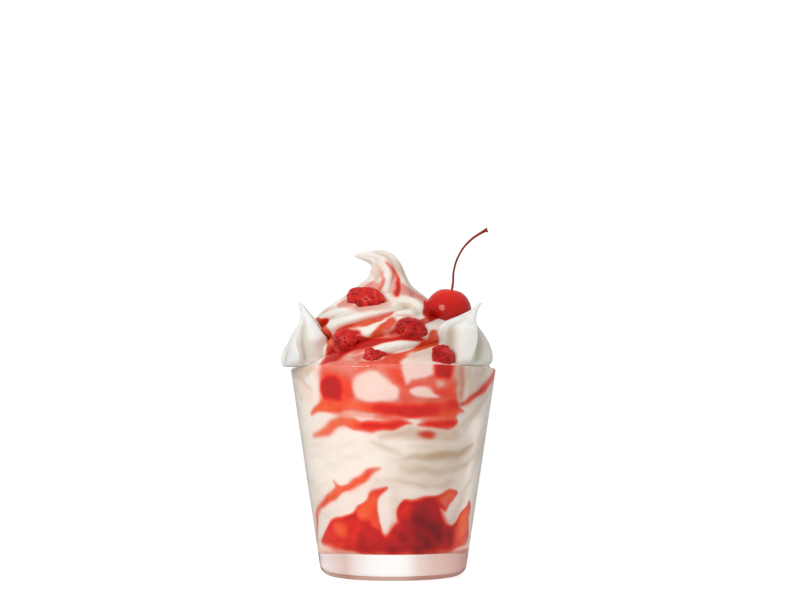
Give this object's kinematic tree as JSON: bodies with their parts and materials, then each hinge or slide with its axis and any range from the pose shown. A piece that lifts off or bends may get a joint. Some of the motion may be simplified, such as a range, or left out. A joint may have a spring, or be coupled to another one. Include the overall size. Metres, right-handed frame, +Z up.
{
  "type": "strawberry sundae",
  "caption": "Soft-serve sundae in a flared clear glass tumbler, layered and streaked with strawberry sauce, topped with a hooked swirl, whipped cream, strawberry pieces and a stemmed cherry",
  "frame": {"origin": "centre of the flat underside of the glass, on its axis", "axes": "+Z up along the glass axis, +X to the cherry and its stem's side, -Y towards the shown front"},
  "size_m": [0.0883, 0.085, 0.1436],
  "materials": {
    "glass": "clear polished soda-lime glass",
    "strawberry_sauce": "glossy translucent strawberry sauce, bright orange-red where thin and deep red where thick",
    "soft_serve": "smooth satin vanilla soft serve, warm off-white, with sauce in its grooves",
    "whipped_cream": "soft satin white whipped cream",
    "strawberry": "wet dark red strawberry flesh with small dark seeds",
    "cherry": "high-gloss candied cherry skin",
    "cherry_stem": "red-brown cherry stem, satin"
  },
  "bodies": {
    "root": {"glass": "glass", "strawberry_sauce_bottom": "strawberry_sauce", "soft_serve_fill": "soft_serve", "strawberry_sauce_band": "strawberry_sauce", "soft_serve_swirl": "soft_serve", "whipped_cream_left": "whipped_cream", "whipped_cream_right": "whipped_cream", "cherry": "cherry", "cherry_stem": "cherry_stem", "strawberry_top": "strawberry", "strawberry_left": "strawberry", "strawberry_front": "strawberry", "strawberry_middle": "strawberry", "strawberry_right": "strawberry", "strawberry_back_right": "strawberry", "strawberry_back": "strawberry", "strawberry_back_left": "strawberry"}
  },
  "joints": []
}
